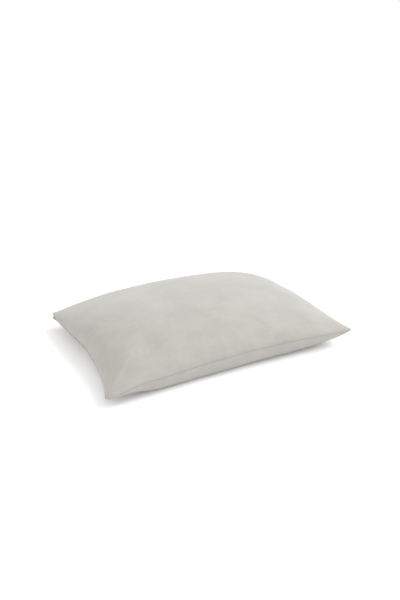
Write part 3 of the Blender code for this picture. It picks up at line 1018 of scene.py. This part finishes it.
def shoulder(u, v):
    """0 on the ticking's seam and 1 where it has reached the case."""
    end = np.clip(((1 - abs(u)) * HALF_LENGTH - INSERT_INSET) / SHOULDER, 0, 1)
    side = np.clip(((1 - abs(v)) * HALF_WIDTH - INSERT_INSET) / SHOULDER, 0, 1)
    return (1 - (1 - end) ** 2) * (1 - (1 - side) ** 2)


def stuffed(u, v, depth, faces_up):
    """Places on the upper or the lower side of the insert, this deep under its outer face."""
    rise = shoulder(u, v)[..., None]
    if faces_up:
        edge = on_sheet(u, v, EDGE_GAP + TICKING_CLOTH - np.minimum(depth, TICKING_CLOTH))
        return edge * (1 - rise) + upper_case.under(u, v, UNDER_CASE + depth) * rise
    past_flap = smooth_step((u + 1) * HALF_LENGTH, FLAP_LENGTH, FLAP_LENGTH + STEP_REACH)
    lift = UNDER_CASE + (FLAP_LIFT - UNDER_CASE) * (1 - past_flap)
    edge = on_sheet(u, v, -EDGE_GAP - TICKING_CLOTH + np.minimum(depth, TICKING_CLOTH))
    return edge * (1 - rise) + lower_case.under(u, v, lift + depth) * rise


def insert_lines(cells, inset):
    """u and v of a grid that ends this far inside the case's edge."""
    u_most, v_most = 1 - inset / HALF_LENGTH, 1 - inset / HALF_WIDTH
    u_lines, v_lines = line_places(cells[0]) * u_most, line_places(cells[1]) * v_most
    return np.meshgrid(u_lines, v_lines, indexing="ij")


# %% Wrinkles of the ticking
u_ticking, v_ticking = insert_lines(TICKING_CELLS, INSERT_INSET)
INSERT_FLAT = np.array((LENGTH - 2 * INSERT_INSET, WIDTH - 2 * INSERT_INSET)) * TICKING_EASE
ticking_depths = [np.zeros_like(u_ticking)] * 2
sides = [
    stuffed(u_ticking, v_ticking, depth, faces_up)
    for depth, faces_up in zip(ticking_depths, (True, False))
]
middle_line = (sides[0] + sides[1]) / 2
border_rows = np.ones_like(u_ticking, bool)
border_rows[1:-1, 1:-1] = False
for side in sides:
    side[border_rows] = middle_line[border_rows]
moves = wrinkles(*sides, INSERT_FLAT, share=0.6, most=TICKING_MOST / 2,
                 pressure=4, mass=0.05, stiffness=35, bending=0.04, frames=22)
ticking_depths = []
for face, move in zip((upper_case, lower_case), moves):
    outwards = (face.read(face.normals, u_ticking, v_ticking) * move).sum(-1)
    ticking_depths.append(np.clip(TICKING_MOST / 2 - outwards, 0, TICKING_MOST))
print("ticking wrinkles go", [round(float(d.max() - d.min()), 4) for d in ticking_depths])

# %% Panels of the ticking
u_fine, v_fine = insert_lines([2 * cells for cells in TICKING_CELLS], INSERT_INSET)
upper_depth, lower_depth = (refined(depth) for depth in ticking_depths)
ticking_flat = np.stack(np.meshgrid(
    *[np.linspace(0, size, count) for size, count in zip(INSERT_FLAT, u_fine.shape)],
    indexing="ij"), -1)
ticking_upper = stuffed(u_fine, v_fine, upper_depth, True)
ticking_lower = stuffed(u_fine, v_fine, lower_depth, False)
ticking_top = panel("ticking_top", ticking_upper, ticking_flat, True, TICKING_CLOTH)
ticking_bottom = panel("ticking_bottom", ticking_lower, ticking_flat, False, TICKING_CLOTH)
print("ticking panels of", len(ticking_top.data.polygons), "faces")

# %% [markdown]
# ## Filling
#
# Polyester fibre fills the ticking in soft lumps. It is one padded body with a rounded rim, a
# little smaller than the inside of the ticking. Its lumps are a sum of waves that run in many
# directions. A seeded generator draws them, so that every run gives the same lumps.

# %% Fibre filling
LUMP_SEED = 7
LUMP_WAVES = 18
LUMP_LENGTHS = (0.030, 0.090)
LUMP_DEPTH = 0.0025
FILL_INSET = INSERT_INSET + 0.002
FILL_CELLS = (84, 60)

draw = np.random.default_rng(LUMP_SEED)
wave_angles = draw.uniform(0, 2 * pi, LUMP_WAVES)
wave_numbers = 2 * pi / draw.uniform(*LUMP_LENGTHS, LUMP_WAVES)
wave_starts = draw.uniform(0, 2 * pi, LUMP_WAVES)


def lumps(x, y):
    """0 to 1, with soft lumps."""
    waves = sum(
        np.sin(k * (x * cos(angle) + y * sin(angle)) + start)
        for angle, k, start in zip(wave_angles, wave_numbers, wave_starts)
    )
    return 0.5 + 0.5 * np.tanh(waves / np.sqrt(LUMP_WAVES))


u_fill, v_fill = insert_lines(FILL_CELLS, FILL_INSET)
fill_depth = TICKING_MOST + TICKING_CLOTH + GAP + LUMP_DEPTH * lumps(*plan(u_fill, v_fill))
fill_upper = stuffed(u_fill, v_fill, fill_depth, True)
fill_lower = stuffed(u_fill, v_fill, fill_depth, False)
fill_flat = np.stack([u_fill * HALF_LENGTH, v_fill * HALF_WIDTH], -1)
filling = layer("fibre_filling", fill_upper, fill_lower, fill_flat)
print("filling", round(float(fill_upper[..., 2].max()), 4), "m high")

# %% [markdown]
# ## Piping, closing stitches and labels
#
# The insert's edge is piped: a cord in a strip of bias-cut cloth, sewn into the seam all round. It
# follows the seam at its own radius outside it, with a round turn at each corner. A short row of
# bigger hand stitches closes the slit through which the fibre went in. Each bag has a small care
# label in a seam, left blank.

# %% Piping
PIPING_RADIUS = 0.0017
PIPING_SIDES = 12
CORNER_STEPS = 6
PIPING_STEP = 0.006


def piping_line():
    """The piping's middle, once round the insert's edge."""
    reach = PIPING_RADIUS + GAP
    corners = ((LEFT, FRONT), (RIGHT, FRONT), (RIGHT, BACK), (LEFT, BACK))
    places = []
    for number, start in enumerate(corners):
        end = corners[(number + 1) % 4]
        outward = (number - 1) * pi / 2
        steps = ceil(max(abs(end[0] - start[0]), abs(end[1] - start[1])) / PIPING_STEP)
        for share in np.linspace(0, 1, steps + 1)[1:]:
            turns = np.linspace(0, pi / 2, CORNER_STEPS) if share == 1 else [0.0]
            u = along(start[0] + (end[0] - start[0]) * share)
            v = across(start[1] + (end[1] - start[1]) * share)
            for turn in turns:
                x, y = plan(u, v)
                places.append((x + reach * cos(outward + turn), y + reach * sin(outward + turn),
                               seam_height(u, v)))
    return np.array(places)


def closed_tube(name, line, radius, sides):
    """A tube round a closed line."""
    ahead, behind = np.roll(line, -1, 0), np.roll(line, 1, 0)
    forward = ahead - behind
    forward /= np.linalg.norm(forward, axis=1, keepdims=True)
    out = np.cross(forward, (0.0, 0.0, 1.0))
    out /= np.linalg.norm(out, axis=1, keepdims=True)
    up = np.cross(out, forward)
    turn = np.arange(sides) * 2 * pi / sides
    ring = out[:, None] * np.cos(turn)[:, None] + up[:, None] * np.sin(turn)[:, None]
    points = line[:, None] + ring * radius
    index = np.arange(len(line) * sides).reshape(len(line), sides)
    index = np.concatenate([index, index[:1]])
    index = np.concatenate([index, index[:, :1]], 1)
    flat = np.zeros((len(line) * sides, 2))
    return add_mesh(name, points, grid_quads(index)[:, ::-1], flat)


piping_route = piping_line()
piping = closed_tube("insert_piping", piping_route, PIPING_RADIUS, PIPING_SIDES)
print("piping", round(float(np.linalg.norm(np.diff(piping_route, axis=0), axis=1).sum()), 3), "m")

# %% Closing stitches
CLOSING_LENGTH = 0.160
CLOSING_PITCH = 0.0055

closing_line = line_across(LENGTH - INSERT_INSET - STITCH_INSET,
                           (WIDTH - CLOSING_LENGTH) / 2, (WIDTH + CLOSING_LENGTH) / 2)
upper_ticking = Face(ticking_upper, True, INSERT_INSET)
closing = stitch_row("closing_stitches",
                     upper_ticking.under(*closing_line, -THREAD_RADIUS * (1 - SUNK)), CLOSING_PITCH)
print("closing stitches:", len(closing.data.polygons) // len(stitch_faces))

# %% Care labels
LABEL_THICKNESS = 0.0004
LABEL_WIDTH = 0.030
CASE_LABEL_FROM_MOUTH = 0.070
TICKING_LABEL_FROM_END = 0.110


def between_faces(upper, lower):
    """Places in the middle of the space between two faces, at an offset."""
    return lambda u, v, offset: (upper(u, v) + lower(u, v)) / 2 + np.stack(
        [0 * u, 0 * u, 0 * u + offset], -1)


case_label = strip(
    "case_label", (CASE_LABEL_FROM_MOUTH, CASE_LABEL_FROM_MOUTH + LABEL_WIDTH),
    (INSERT_INSET - ALLOWANCE_WIDTH, INSERT_INSET), LABEL_THICKNESS,
    between_faces(lambda u, v: upper_case.under(u, v, CASE_CLOTH),
                  lambda u, v: on_sheet(u, v, ALLOWANCE_THICKNESS / 2)))
label_end = LENGTH - TICKING_LABEL_FROM_END
ticking_label = strip(
    "insert_label", (label_end - LABEL_WIDTH, label_end),
    (WIDTH - INSERT_INSET - SHOULDER / 2, WIDTH - INSERT_INSET + PIPING_RADIUS), LABEL_THICKNESS,
    between_faces(lambda u, v: stuffed(u, v, np.zeros_like(u), False),
                  lambda u, v: lower_case.under(u, v, CASE_CLOTH)))
print("labels at", case_label.name, ticking_label.name)

# %% [markdown]
# ## The other finishes
#
# The flap, hems and seams are the case's own cloth. Threads are smooth and a little shiny. The
# ticking is a dense white cotton with a finer weave than the case, piped in bias-cut cloth of the
# same white. The labels are satin ribbon with fine ribs, and the fibre is white fluff. The room is
# so bright that a true white would burn out, so each white is a light grey here.

# %% Threads
CASE_THREAD = (0.42, 0.403, 0.37)
WHITE_THREAD = (0.60, 0.593, 0.578)
THREAD_SHADE = 0.82                # painted shade of the grooves between the strands


def thread_finish(name, colour):
    """Twisted thread: a fine pattern of strands, with painted shade in the grooves between them."""
    material, signal, shader = new_finish(name, roughness=0.55, sheen=0.1)
    place = signal.node("TexCoord", out=3)
    twist = signal.node("TexNoise", Vector=place, Scale=3500.0, Detail=1.0)
    dark = tuple(THREAD_SHADE * part for part in colour)
    connect(twist.between(0.3, 0.7).mixed(dark, colour), shader, "Base Color")
    connect(raised(signal, twist, depth=0.00008, strength=0.5), shader, "Normal")
    return material


case_thread = thread_finish("case_thread", CASE_THREAD)
white_thread = thread_finish("white_thread", WHITE_THREAD)
print("threads:", case_thread.name, white_thread.name)

# %% Ticking and piping
TICKING_DARK, TICKING_LIGHT = (0.49, 0.483, 0.465), (0.57, 0.563, 0.547)
PIPING_DARK, PIPING_LIGHT = (0.45, 0.443, 0.425), (0.53, 0.523, 0.507)
TICKING_THREAD_SPACING = 0.00030


def ticking_finish():
    material, signal, shader = new_finish("ticking_cloth", roughness=0.75, sheen=0.15)
    flat, weave = woven(signal, TICKING_THREAD_SPACING)
    dye = signal.node("TexNoise", Vector=flat, Scale=9.0, Detail=3.0)
    # the weave's share is painted shade, darker between the threads; the dye's share is the cloth's
    # own tone
    tone = weave * 0.5 + dye.between(0.3, 0.7) * 0.5
    connect(tone.mixed(TICKING_DARK, TICKING_LIGHT), shader, "Base Color")
    connect(0.70 + dye * 0.12, shader, "Roughness")
    connect(raised(signal, weave, depth=0.00010, strength=0.5), shader, "Normal")
    return material


def piping_finish():
    material, signal, shader = new_finish("piping_cloth", roughness=0.75, sheen=0.15)
    place = signal.node("TexCoord", out=3)
    cloth = signal.node("TexNoise", Vector=place, Scale=2600.0, Detail=2.0)
    soil = signal.node("TexNoise", Vector=place, Scale=25.0, Detail=2.0)
    tone = cloth.between(0.3, 0.7) * 0.6 + soil * 0.4
    connect(tone.mixed(PIPING_DARK, PIPING_LIGHT), shader, "Base Color")
    connect(raised(signal, cloth, depth=0.00012, strength=0.6), shader, "Normal")
    return material


ticking_cloth, piping_cloth = ticking_finish(), piping_finish()
print("insert's cloths:", ticking_cloth.name, piping_cloth.name)

# %% Labels and fibre
RIBBON_DARK, RIBBON_LIGHT = (0.52, 0.52, 0.505), (0.60, 0.60, 0.585)
FIBRE_DARK, FIBRE_LIGHT = (0.52, 0.52, 0.515), (0.62, 0.62, 0.615)
RIB_SPACING = 0.0004


def label_finish():
    material, signal, shader = new_finish("label_ribbon", roughness=0.4, sheen=0.1)
    flat = signal.node("UVMap", {"uv_map": "flat_cloth"})
    ribs = (signal.node("SeparateXYZ", out=1, Vector=flat) * (2 * pi / RIB_SPACING)).sine()
    # painted shade: the colour is darker in the troughs between the ribs
    tone = ribs.between(-1.0, 1.0)
    connect(tone.mixed(RIBBON_DARK, RIBBON_LIGHT), shader, "Base Color")
    connect(raised(signal, tone, depth=0.00005, strength=0.6), shader, "Normal")
    return material


def fibre_finish():
    material, signal, shader = new_finish("fibre_fluff", roughness=0.95, sheen=0.4)
    place = signal.node("TexCoord", out=3)
    strands = signal.node("TexNoise", Vector=place, Scale=420.0, Detail=5.0, Distortion=2.0)
    connect(strands.mixed(FIBRE_DARK, FIBRE_LIGHT), shader, "Base Color")
    connect(raised(signal, strands, depth=0.0012, strength=0.7), shader, "Normal")
    return material


label_ribbon, fibre_fluff = label_finish(), fibre_finish()
print("last finishes:", label_ribbon.name, fibre_fluff.name)

# %% [markdown]
# ## Who carries what
#
# Each piece stands for one piece of the working model, takes a named finish and rides on the case
# or on the insert. When the insert is drawn out, the soft case sinks flat behind it. Cloth gives
# way in use.

case_pieces = [
    (case_top, "case_top_panel", "case_cloth", case_finish),
    (case_bottom, "case_bottom_panel", "case_cloth", case_finish),
    (flap, "case_inner_flap", "case_cloth", case_finish),
    (mouth_hem, "case_mouth_hem", "case_cloth", case_finish),
    (flap_hem, "case_flap_hem", "case_cloth", case_finish),
    *[(piece, "case_" + name, "case_cloth", case_finish) for name, piece in seams.items()],
    *[(row, "case_" + name, "case_thread", case_thread) for name, row in case_stitches.items()],
    (case_label, "case_care_label", "label_tape", label_ribbon),
]
insert_pieces = [
    (ticking_top, "ticking_top_panel", "ticking_cloth", ticking_cloth),
    (ticking_bottom, "ticking_bottom_panel", "ticking_cloth", ticking_cloth),
    (piping, "ticking_piping", "piping_cord", piping_cloth),
    (closing, "ticking_closing_stitches", "ticking_thread", white_thread),
    (ticking_label, "ticking_care_label", "label_tape", label_ribbon),
    (filling, "fibre_fill", "fibre_filling", fibre_fluff),
]
for body, group in (("pillowcase", case_pieces), ("insert", insert_pieces)):
    for piece, node, slot, finish in group:
        piece.data.materials.clear()
        piece.data.materials.append(finish)
        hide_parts(node)
        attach(piece, body)
for piece, *_ in case_pieces:
    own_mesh(piece)
triangles = sum(len(piece.data.polygons) * 2 for piece, *_ in case_pieces + insert_pieces)
print(len(case_pieces) + len(insert_pieces), "pieces, about", triangles, "triangles")
